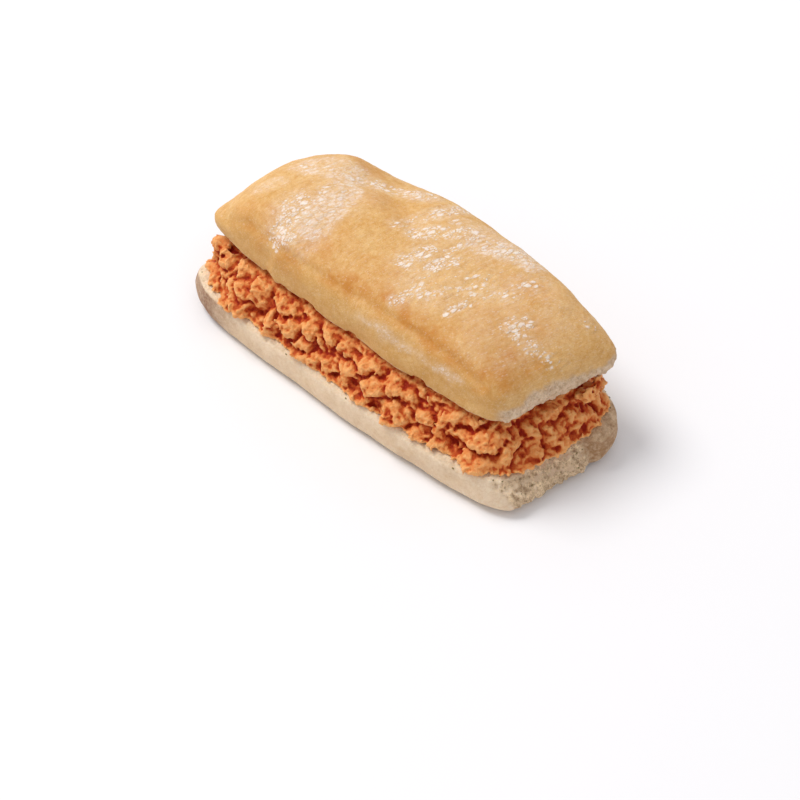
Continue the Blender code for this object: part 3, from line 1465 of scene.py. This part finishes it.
    def wrinkle(self, sculpt: Sculpt) -> None:
        """Adds the crust's swells, creases and stretch marks across the roll, and torn crumb.

        Args:
            sculpt: the piece's points and normals, which are moved.
        """
        p = sculpt.points
        top = ramp(sculpt.normals[:, 2], -0.85, -0.5)
        risen = ramp(p[:, 2], LID_CUT + 2 * MM, LID_CUT + 12 * MM)
        swell = Grain(24, 2, 3).at(p) * self.swell_depth + Grain(8, 2, 5).at(p) * self.dent_depth
        turned = turn_about_z(p, -STREAK_TURN)
        marks = Grain(2.2, 2, 8, (0.2, 1.0, 1.0)).at(Grain(20, 1, 9).warp(turned, 3))
        floured = np.max([streak.share(p, self.ridge_spread) for streak in self.streaks], axis=0)
        relief = swell * (0.35 + 0.65 * risen) - np.abs(marks) * (0.1 + 0.28 * floured)
        relief += Grain(1.5, 2, 12).at(p) * self.pimple_height - strongest(self.creases, p) * risen
        torn = self.torn(p) * Grain(2.6, 3, 19).at(p) * self.torn_depth
        sculpt.push((relief * top + torn) * MM)

    def torn(self, points: np.ndarray) -> np.ndarray:
        """Share of torn crumb along the rim's +X end.

        Args:
            points: N by 3 array, in metres.

        Returns:
            N shares.
        """
        x, y, z = points.T
        above = (z - LID_CUT) / MM + Grain(4, 3, 41).at(points) * 1.1
        reach = 4.4 + 4.6 * bell(y, -5, 17)
        return ramp_mm(x - 0.12 * y, 66, 70) * ramp(above - reach, 1.6, -1.2)

    def paint(self, sculpt: Sculpt) -> None:
        """Paints browning, flour, veil and open crumb.

        Args:
            sculpt: the finished form.
        """
        p, n = sculpt.points, sculpt.normals
        above = (p[:, 2] - LID_CUT) / MM
        high = ramp(above, 10, 15)
        ragged = Grain(5, 3, 21, (1.0, 0.6, 1.0)).at(p)
        wandered = Grain(6, 2, 23).warp(p, 1.6)
        strayed = Grain(5, 2, 27).warp(p, 0.9)
        brown = strongest(self.brown, wandered) * (1 + 0.35 * ragged)
        front = ramp(n[:, 1], -0.3, -0.8) * ramp(above, 18, 12)
        flakes = [s.share(strayed, self.flake_spread) * s.flakes for s in self.streaks]
        veils = [s.share(strayed, self.veil_spread) * s.veil for s in self.streaks]
        veils += [dusting.share(p) for dusting in self.dustings]
        veil = np.max(veils, axis=0) * (0.1 + 0.9 * ramp(above, 14, 19))
        veil = np.maximum(veil, strongest(self.light_lines, wandered))
        cut = ramp(n[:, 2], -0.55, -0.8)
        rim = ramp(above + ragged * 0.3, 0.8, 0.4)
        sculpt.paint(Mask.TOAST, np.maximum(brown, strongest(self.tans, wandered) * high))
        sculpt.paint(Mask.PALE_AND_SHADE, front * (0.6 + 0.4 * ragged))
        sculpt.paint(Mask.FLOUR, np.max(flakes, axis=0) * (1 + 0.35 * ragged) * high)
        sculpt.paint(Mask.VEIL, veil * (1 + 0.5 * ragged))
        sculpt.paint(Mask.CRUMB, np.maximum.reduce([cut, self.torn(p), rim * 0.6]))


# ---- The heel ----


@dataclass(frozen=True)
class Pores:
    """Bubbles pressed into a place: how many, and their least and greatest radius in millimetres."""

    count: int
    smallest: float
    largest: float
    depth: float = 0.4

    def press(self, sculpt: Sculpt, spots: np.ndarray, rng: np.random.Generator) -> None:
        """Presses them in at random among some spots on the surface.

        Args:
            sculpt: the piece's points and normals, which are moved.
            spots: K by 3 array of places to choose from.
            rng: the source of random numbers.
        """
        chosen = spots[rng.choice(len(spots), self.count)]
        radii = self.smallest + (self.largest - self.smallest) * rng.random(self.count) ** 2.5
        sculpt.carve(chosen, radii * MM, self.depth)


@dataclass
class Heel(Part):
    """The lower half of the roll: pale floured crust round a level cut face, torn at its +X end."""

    slot: Slot = Slot.HEEL
    node: str = "bottom_bread"
    triangles: int = 160_000
    voxel: float = 0.62 * MM
    torn_from: float = 77
    torn_to_y: float = 7
    margin_pores: Pores = Pores(200, 0.5, 1.2)
    end_pores: Pores = Pores(170, 1.0, 2.6)
    rim_drop: float = 1.9
    lip_drop: float = 2.2 * MM
    swell_depth: float = 0.55
    dent_depth: float = 0.14
    crumb_depth: float = 0.3
    bubble_depth: float = 0.55
    end_lean: float = 8.0 * MM
    finish: BreadFinish = BreadFinish(
        "pale_floured_crust",
        crust=(212, 180, 142),
        crust_light=(234, 210, 180),
        # Tan crust, dark enough to carry painted shade beyond the +X lobe
        toast=(154, 114, 76),
        # Dark brown at the -X end: painted shade, partly the crust's own brown
        pale=(112, 60, 36),
        flour=(246, 230, 208),
        crumb=(248, 220, 182),
        pore=(120, 82, 48),
        dust=0.25,
        flour_cover=0.55,
        roughness=0.72,
        specular=0.22,
    )

    def shape(self) -> Sculpt:
        """Builds the heel's form on an even mesh.

        Returns:
            The heel's points and normals.
        """
        section = [(reach, HEEL_CUT) for reach in (0.0, 0.6, 0.985)]
        section += [(1.0, HEEL_CUT * 0.62), (0.995, HEEL_CUT * 0.24)]
        section += [(reach, 0.0) for reach in (0.95, 0.6, 0.0)]
        cage = Cage(HEEL_PLAN, tuple(section), HEEL_CUT)
        sculpt = skinned(cage.build("heel_crust", (), HEEL_CUT), self.voxel, 2)
        self.slump(sculpt)
        self.roughen(sculpt)
        self.open_pores(sculpt)
        return sculpt

    def torn(self, points: np.ndarray) -> np.ndarray:
        """Share of torn crumb at each point of the +X end.

        Args:
            points: N by 3 array, in metres.

        Returns:
            N shares.
        """
        ragged = Grain(5, 2, 33).at(points) * 1.2 * MM
        along = points[:, 0] + ragged - 0.1 * points[:, 1]
        side = ramp_mm(points[:, 1] + ragged, self.torn_to_y + 1, self.torn_to_y - 1)
        return ramp_mm(along, self.torn_from, self.torn_from + 2) * side

    def end_face(self, sculpt: Sculpt) -> np.ndarray:
        """Share of the torn face itself, once the +X end has been leaned back.

        Args:
            sculpt: the heel's points and normals.

        Returns:
            N shares.
        """
        x, y, z = sculpt.points.T
        outward = ramp(sculpt.normals[:, 0], 0.42, 0.62) * ramp(sculpt.normals[:, 2], 0.97, 0.9)
        outward *= ramp_mm(y - 0.36 * (HEEL_CUT - z), -35.5, -33.5)
        return outward * ramp_mm(x, 70, 74) * ramp_mm(y, 8, 6)

    def slump(self, sculpt: Sculpt) -> None:
        """Rounds the rim, waves the front and leaves a lobe and a hollow at the +X end.

        Args:
            sculpt: the piece's points and normals, which are moved.
        """
        p = sculpt.points
        x, y, z = p.T
        out = ramp(HEEL_PLAN.share_out(p), 0.9, 1.0)
        high = ramp(z, HEEL_CUT * 0.45, HEEL_CUT)
        torn = self.torn(p)
        drop = Grain(15, 2, 35).at(p * (1, 1, 0)) * 0.6 + self.rim_drop - 1.2 * torn
        ridge = Grain(7, 2, 39).at(p * (1, 1, 0)) * 1.3 - 0.3
        z -= out**2 * high * drop * MM
        z += out * high * torn * ridge * MM
        lip = ramp_mm(x, -78, -91)
        z -= lip**2 * high * self.lip_drop
        x += lip * ramp_mm(z, 10, 1) * 2.0 * MM
        y += ramp_mm(x, -68, -90) * ramp_mm(y, -24, -42) * 1.4 * MM
        lobe = bell(y, 3, 4) * bell(z, 5, 5) - bell(y, 9, 2.4)
        x += lobe * ramp_mm(x, 80, 86) * 1.4 * MM
        lean = ramp_mm(x, 58, 88) * ramp_mm(y, 14, 2)
        x -= lean * ramp(z, 1.5 * MM, HEEL_CUT) * self.end_lean
        sculpt.write()

    def roughen(self, sculpt: Sculpt) -> None:
        """Adds swells, the open crumb of the cut face and the torn +X end.

        Args:
            sculpt: the piece's points and normals, which are moved.
        """
        p = sculpt.points
        cut = ramp(sculpt.normals[:, 2], 0.6, 0.9)
        torn = self.end_face(sculpt)
        swell = Grain(20, 2, 4).at(p) * self.swell_depth + Grain(6, 2, 6).at(p) * self.dent_depth
        crumb = Grain(2.2, 3, 7).at(p) * self.crumb_depth * np.maximum(cut, torn)
        bubbly = Grain(3.6, 2, 37).at(p) * self.bubble_depth * torn
        sculpt.push(ramp_mm(p[:, 2], 0.4, 3) * (swell * (1 - cut) + crumb + bubbly) * MM)

    def open_pores(self, sculpt: Sculpt) -> None:
        """Presses bubbles into the cut face's margin and the torn end.

        Args:
            sculpt: the piece's points and normals, which are moved.
        """
        rng = np.random.default_rng(5)
        p = sculpt.points
        margin = (sculpt.normals[:, 2] > 0.5) & (HEEL_PLAN.share_out(p) > 0.86)
        end = (self.end_face(sculpt) > 0.5) & (p[:, 2] > 1.0 * MM)
        self.margin_pores.press(sculpt, p[margin], rng)
        self.end_pores.press(sculpt, p[end], rng)

    def paint(self, sculpt: Sculpt) -> None:
        """Paints browning, painted shade at the -X end and beyond the +X lobe, the flour's veil and open
        crumb.

        Args:
            sculpt: the finished form.
        """
        p, n = sculpt.points, sculpt.normals
        x, y, z = p.T
        cut = ramp(n[:, 2], 0.6, 0.85) * ramp_mm(z, 9, 12)
        end = self.end_face(sculpt) * (1 - 0.5 * ramp_mm(z, 12, 15))
        # Painted shade: the sides of the -X end turn dark brown, partly the crust's own brown
        shaded = ramp_mm(x, -50, -76) * ramp(n[:, 2], 0.75, 0.3)
        # Tan crust beyond the +X lobe, with painted shade in it
        tanned_and_shaded = ramp_mm(x, 76, 82) * ramp_mm(y, 2, 8)
        # No flour veil where shade is painted
        bare_in_painted_shade = np.maximum(0.97 * shaded, 0.8 * tanned_and_shaded)
        veil = 0.25 + 0.6 * ramp_mm(z, 9, 13.5) + 0.5 * ramp_mm(x, 55, 70)
        veil += 0.25 * Grain(4, 3, 43).at(p)
        sculpt.paint(Mask.CRUMB, np.maximum(cut * 0.4, end))
        sculpt.paint(Mask.FLOUR, np.zeros(len(p)))
        sculpt.paint(Mask.VEIL, veil * (1 - bare_in_painted_shade))
        sculpt.paint(Mask.TOAST, np.maximum(tanned_and_shaded, 0.12 * ramp(Grain(14, 2, 53).at(p), 0.1, 0.6)))
        sculpt.paint(Mask.PALE_AND_SHADE, shaded)


# ---- The filling ----


@dataclass(frozen=True)
class ShredSize:
    """Short strands of meat: how many, and their half length and half thickness ranges."""

    count: int
    half_length: tuple[float, float]
    half_thick: tuple[float, float]
    rings: int = 7
    sides: int = 6

    def faces(self) -> np.ndarray:
        """Triangles of one strand, a closed tube whose points are given ring by ring.

        Returns:
            M by 3 array of indices.
        """
        here = np.arange((self.rings - 1) * self.sides).reshape(self.rings - 1, self.sides)
        beside = np.roll(here, -1, axis=1)
        wall = [(here, beside, here + self.sides), (beside, beside + self.sides, here + self.sides)]
        faces = [np.stack(corners, axis=-1).reshape(-1, 3) for corners in wall]
        fan = np.arange(1, self.sides - 1)
        first = np.stack((np.zeros_like(fan), fan + 1, fan), axis=1)
        last = np.stack((np.zeros_like(fan), fan, fan + 1), axis=1) + (self.rings - 1) * self.sides
        return np.concatenate((*faces, first, last))


@dataclass(frozen=True)
class Morsel:
    """A lump of meat that stands out of the mass, in millimetres: its middle, half sizes and turns."""

    middle: tuple[float, float, float]
    half_length: float
    half_thick: float
    turn: float
    lean: float = 0.0

    def arrays(self) -> tuple[np.ndarray, np.ndarray]:
        """Points and triangles of the lump.

        Returns:
            N by 3 points, in metres, and M by 3 triangles.
        """
        bm = bmesh.new()
        bmesh.ops.create_icosphere(bm, subdivisions=3, radius=1.0)
        points = np.array([vertex.co for vertex in bm.verts])
        faces = np.array([[vertex.index for vertex in face.verts] for face in bm.faces])
        bm.free()
        points = points * (self.half_length, self.half_thick, self.half_thick)
        c, s = math.cos(math.radians(self.lean)), math.sin(math.radians(self.lean))
        leaned = points @ np.array(((c, 0.0, s), (0.0, 1.0, 0.0), (-s, 0.0, c)))
        return (turn_about_z(leaned, self.turn) + np.array(self.middle)) * MM, faces


@dataclass
class Filling(Part):
    """Shredded chicken in sauce: a core, with torn lumps and shreds heaped round its side."""

    slot: Slot = Slot.CHICKEN
    node: str = "chicken_filling"
    triangles: int = 197_000
    finish: SauceFinish = SauceFinish()
    voxel: float = 0.45 * MM
    mass_voxel: float = 0.7 * MM
    height: float = FILLING_TOP - FILLING_BASE
    taper: float = 8.0 * MM
    masses: Grain = Grain(12, 1, 61)
    mass_depth: float = 6.2 * MM
    lumps: Grain = Grain(5.4, 1, 62)
    lump_depth: float = 1.3 * MM
    nubs: Grain = Grain(2.0, 2, 63)
    nub_depth: float = 0.5 * MM
    middle_height: float = 0.62
    crevice_floor: float = 0.12
    dip_floor: float = 0.4
    over_lid_rim: float = 1.8
    over_heel_rim: float = 2.4
    shreds: ShredSize = ShredSize(3600, (1.1, 3.0), (0.42, 0.75))
    bulges: tuple[Mound, ...] = (
        Mound(-61, -44, 8, 12, 4.6),
        Mound(-80, -38, 6, 8, -3.5),
        Mound(-84, -22, 6, 9, 1.5),
        Mound(-48, -43, 3, 10, -2.0),
        Mound(54, -39, 5, 8, -4.0),
        Mound(67, -37, 6, 6, 1.8),
        Mound(77, -32, 6, 6, -3.0),
        Mound(81, -20, 7, 8, -6.0),
        Mound(87, 18, 8, 12, -4.0),
    )
    morsels: tuple[Morsel, ...] = (
        Morsel((-80.5, -28.5, 25.2), 3.8, 2.0, 50, 8),
        Morsel((-80.0, -28.5, 23.0), 4.5, 3.4, 40),
        Morsel((-78.5, -26.0, 26.0), 5.2, 3.8, 40),
        Morsel((-74.0, -31.0, 27.0), 6.0, 3.6, 10),
        Morsel((78.5, 15.0, 30.5), 5.0, 3.4, 80),
        Morsel((76.5, 23.0, 30.5), 4.5, 3.4, 100),
    )

    def core(self) -> bpy.types.Object:
        """The smooth mass before it is torn: wide on the heel and narrower under the lid.

        Returns:
            The object.
        """
        narrow = 1 - 2 * self.taper / FILLING_PLAN.width
        section = ((0.0, FILLING_TOP), (0.5, FILLING_TOP), (narrow, FILLING_TOP))
        section += ((1.0, FILLING_BASE), (0.5, FILLING_BASE), (0.0, FILLING_BASE))
        return Cage(FILLING_PLAN, section, FILLING_BASE, 96, 1).build("chicken_mass", (), self.height)

    def shape(self) -> Sculpt:
        """Heaves core and morsels into lumps, lays strands on them and skins and tears them.

        Returns:
            The filling's points and normals.
        """
        mass = self.core()
        join(mass, [piece_from_arrays("morsel", *morsel.arrays()) for morsel in self.morsels])
        sculpt = skinned(mass, self.mass_voxel, 6)
        self.heave(sculpt)
        self.hold_between(sculpt)
        join(mass, [piece_from_arrays("strands", *self.strands(sculpt))])
        sculpt = skinned(mass, self.voxel, 1)
        self.tear(sculpt)
        return sculpt

    def heave(self, sculpt: Sculpt) -> None:
        """Breaks the smooth mass into big masses with deep crevices, and those into lumps.

        Args:
            sculpt: the piece's points and normals, which are moved.
        """
        p = sculpt.points
        side = ramp(np.abs(sculpt.normals[:, 2]), 0.98, 0.8)
        swell = Grain(17, 1, 81).at(p) * 0.8 * MM + sum(bulge.lift(p) for bulge in self.bulges)
        shade = 1.5 + Grain(10, 2, 66).at(p) * 1.6 + 2.0 * ramp_mm(p[:, 0], 52, 66)
        shade *= ramp(p[:, 2], FILLING_TOP - 4.5 * MM, FILLING_TOP - 0.5 * MM)
        strayed = Grain(6, 2, 64).warp(p, 2.2)
        masses = np.maximum(self.masses.curds(strayed * (1, 1, 1.25)), self.crevice_floor)
        lumps = np.maximum(self.lumps.curds(strayed), self.dip_floor)
        heaved = (masses - self.middle_height) * self.mass_depth
        heaved = heaved + (lumps - self.middle_height) * self.lump_depth
        heaved = side * (swell + heaved - shade * MM)
        sculpt.points = p + sculpt.normals * (1, 1, 0.35) * heaved[:, None]
        sculpt.write()

    def strands(self, mass: Sculpt) -> tuple[np.ndarray, np.ndarray]:
        """Short bent strands that lie along the lumps, side by side within a clump.

        Args:
            mass: the skinned lumps.

        Returns:
            N by 3 points, and M by 3 triangles.
        """
        size = self.shreds
        rng = np.random.default_rng(23)
        open_side = np.flatnonzero((np.abs(mass.normals[:, 2]) < 0.96) | self.exposed(mass.points))
        picks = rng.choice(open_side, size.count)
        spots, out = mass.points[picks], mass.normals[picks]
        lie = Grain(9, 1, 65).vectors(spots) + rng.normal(size=spots.shape) * 0.22
        along = unit(np.cross(out, lie))
        along = unit(along + out * rng.normal(size=(len(out), 1)) * 0.06)
        across = unit(np.cross(out, along))
        each = (len(picks), 1, 1)
        long = rng.uniform(*size.half_length, each) * MM
        thick = rng.uniform(*size.half_thick, each) * MM
        bend = rng.normal(size=each) * 0.3 * long
        walk = np.linspace(-1, 1, size.rings)[:, None]
        swell = (1 - walk**4) ** 0.5 * thick
        turn = np.arange(size.sides) * 2 * math.pi / size.sides
        sideways = np.cos(turn) * swell + bend * walk**2
        upwards = np.sin(turn) * swell - thick * 0.25 - walk**2 * long * 0.16
        points = spots[:, None, None]
        for axis, amount in ((along, long * walk), (across, sideways), (out, upwards)):
            points = points + axis[:, None, None] * amount[..., None]
        first = np.arange(len(picks)).reshape(each) * size.rings * size.sides
        return points.reshape(-1, 3), (size.faces()[None] + first).reshape(-1, 3)

    def exposed(self, points: np.ndarray) -> np.ndarray:
        """Whether each point lies outside the lid's outline, where it is open to view."""
        return LID_PLAN.share_out(points) > 0.97

    def hold_between(self, sculpt: Sculpt) -> None:
        """Keeps the mass under the lid and on the heel, drooping a little over the heel's rim.

        Args:
            sculpt: the piece's points and normals, which are moved.
        """
        p = sculpt.points
        on_heel = HEEL_PLAN.share_out(p) < 0.985
        ceiling = FILLING_TOP + np.where(self.exposed(p), self.over_lid_rim, 0.2) * MM
        ground = HEEL_CUT + np.where(on_heel, 0.05, -self.over_heel_rim) * MM
        p[:, 2] = np.clip(p[:, 2], ground, ceiling)
        sculpt.write()

    def tear(self, sculpt: Sculpt) -> None:
        """Adds the torn meat's own fine relief.

        Args:
            sculpt: the piece's points and normals, which are moved.
        """
        side = ramp(np.abs(sculpt.normals[:, 2]), 0.99, 0.9)
        strayed = Grain(2.4, 1, 74).warp(sculpt.points, 0.6)
        sculpt.push(side * (self.nubs.curds(strayed) - 0.7) * self.nub_depth)
        self.hold_between(sculpt)

    def paint(self, sculpt: Sculpt) -> None:
        """Paints how deep each place lies among its neighbours, near, further and far; the sauce darkens
        with depth, partly its own colour and partly painted shade.

        Args:
            sculpt: the finished form.
        """
        reaches = ((4, 0.6), (18, 0.9), (80, 0.6))
        hollow = sum(sculpt.depth(rounds) / MM * share for rounds, share in reaches)
        hollow = standing(sculpt.spread(hollow, 2), self.exposed(sculpt.points))
        sculpt.paint(Mask.HOLLOW, hollow)


@dataclass
class Flecks:
    """Tiny dried herb flakes, stuck where the sauce meets the heel."""

    count: int = 30
    smallest: float = 0.3 * MM
    largest: float = 0.6 * MM
    finish: PlainFinish = PlainFinish(
        "dried_herb", colour=(150, 136, 92), second=(108, 94, 56), roughness=0.8, size=0.8
    )

    def build(self, effects: Effects) -> bpy.types.Object:
        """Builds the flakes and lays them on the heel's margin.

        Args:
            effects: the shared node groups.

        Returns:
            The flakes, as one piece.
        """
        rng = np.random.default_rng(41)
        heel = Sculpt(bpy.data.objects["heel_crust"])
        beside = np.abs(FILLING_PLAN.share_out(heel.points) - 1.03) < 0.03
        spots = rng.choice(heel.points[beside & (heel.normals[:, 2] > 0.5)], self.count)
        sizes = rng.uniform(self.smallest, self.largest, self.count)
        all_points, all_faces = [], []
        for number, (spot, size) in enumerate(zip(spots, sizes, strict=True)):
            flake = Morsel((0.0, 0.0, 0.0), 1.0, 0.6, rng.uniform(0, 180), rng.uniform(-30, 30))
            points, faces = flake.arrays()
            points = Grain(0.7, 1, number).warp(points, 0.3)
            all_points.append(points / MM * size * (1, 1, 0.45) + spot)
            all_faces.append(faces + number * len(points))
        points, faces = np.concatenate(all_points), np.concatenate(all_faces)
        piece = piece_from_arrays("herb_flecks", points, faces)
        dress(piece, self.finish.material(effects))
        return enlist(piece, Slot.CHICKEN)


def unit(vectors: np.ndarray) -> np.ndarray:
    """Vectors scaled to length one."""
    return vectors / np.linalg.norm(vectors, axis=-1, keepdims=True)


def join(target: bpy.types.Object, others: list[bpy.types.Object]) -> None:
    """Joins other objects into the target.

    Args:
        target: the object that takes them up.
        others: the objects, which are removed.
    """
    bm = bmesh.new()
    for piece in (target, *others):
        bm.from_mesh(piece.data)
    bm.to_mesh(target.data)
    bm.free()
    for piece in others:
        bpy.data.objects.remove(piece)


# ---- The studio ----


@dataclass
class Studio:
    """A pale floor, soft light from the left and a camera at the photograph's viewing angle."""

    azimuth: float = 38.74
    elevation: float = 47.81
    roll: float = 5.522
    target: tuple[float, float, float] = (28.93 * MM, -39.39 * MM, 30.0 * MM)
    distance: float = 0.95057
    lens: float = 111.2355
    sensor: float = 36.0
    floor_size: float = 6.0
    floor_finish: PlainFinish = PlainFinish(
        "studio_floor", colour=(240, 239, 240), second=(241, 240, 241), roughness=0.9, size=300.0
    )
    key_direction: tuple[float, float, float] = (-0.87, -0.22, 1.22)
    key_distance: float = 3.0
    key_size: float = 1.5
    key_power: float = 61.5
    sky: float = 0.67
    sky_colour: tuple[float, float, float, float] = (0.99, 0.98, 1.0, 1.0)

    def camera(self) -> None:
        """Adds the camera."""
        data = bpy.data.cameras.new("camera")
        data.lens = self.lens
        data.sensor_width = self.sensor
        data.clip_start = 10 * MM
        a, e = math.radians(self.azimuth), math.radians(self.elevation)
        back = Vector((math.sin(a) * math.cos(e), -math.cos(a) * math.cos(e), math.sin(e)))
        right = Vector((math.cos(a), math.sin(a), 0.0))
        turned = Matrix((right, back.cross(right), back)).transposed()
        turned = turned @ Matrix.Rotation(math.radians(self.roll), 3, "Z")
        stand = Matrix.Translation(Vector(self.target) + back * self.distance)
        seen_from = piece_of("camera", data)
        seen_from.matrix_world = stand @ turned.to_4x4()
        bpy.context.scene.camera = seen_from

    def floor(self, effects: Effects) -> None:
        """Adds the floor.

        Args:
            effects: the shared node groups.
        """
        bm = bmesh.new()
        bmesh.ops.create_grid(bm, x_segments=1, y_segments=1, size=self.floor_size / 2)
        mesh = bpy.data.meshes.new("floor")
        bm.to_mesh(mesh)
        bm.free()
        floor = piece_of("floor", mesh)
        dress(floor, self.floor_finish.material(effects))
        floor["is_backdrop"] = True

    def lights(self) -> None:
        """Adds the soft key light and the even light of a white room."""
        data = bpy.data.lights.new("key", "AREA")
        data.shape = "DISK"
        data.size = self.key_size
        data.energy = self.key_power
        key = piece_of("key", data)
        direction = Vector(self.key_direction).normalized()
        key.location = direction * self.key_distance
        key.rotation_euler = direction.to_track_quat("Z", "Y").to_euler()
        world = bpy.data.worlds.new("white_room")
        world.use_nodes = True
        room = world.node_tree.nodes["Background"].inputs
        room["Color"].default_value = self.sky_colour
        room["Strength"].default_value = self.sky
        bpy.context.scene.world = world

    def build(self, effects: Effects) -> None:
        """Builds floor, lights and camera and sets plain colours.

        Args:
            effects: the shared node groups.
        """
        self.camera()
        self.lights()
        self.floor(effects)
        bpy.context.scene.view_settings.view_transform = "Standard"


def write_size() -> None:
    """Works out the frame's box and the finished sandwich's box, and keeps neither."""
    boxes = {"cad": CAD_BOX, "visual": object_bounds()}
    {name: [list(corner) for corner in box] for name, box in boxes.items()}


def main() -> None:
    """Builds the sandwich from the table up, and the studio round it."""
    logging.basicConfig(level=logging.INFO, format="%(name)s: %(message)s", stream=sys.stdout)
    effects = Effects()
    Studio().build(effects)
    for part in (Heel(), Filling(), Flecks(), Lid()):
        piece = part.build(effects)
        LOG.info("%s: %d faces", piece.name, len(piece.data.polygons))
    write_size()


if __name__ == "__main__":
    main()
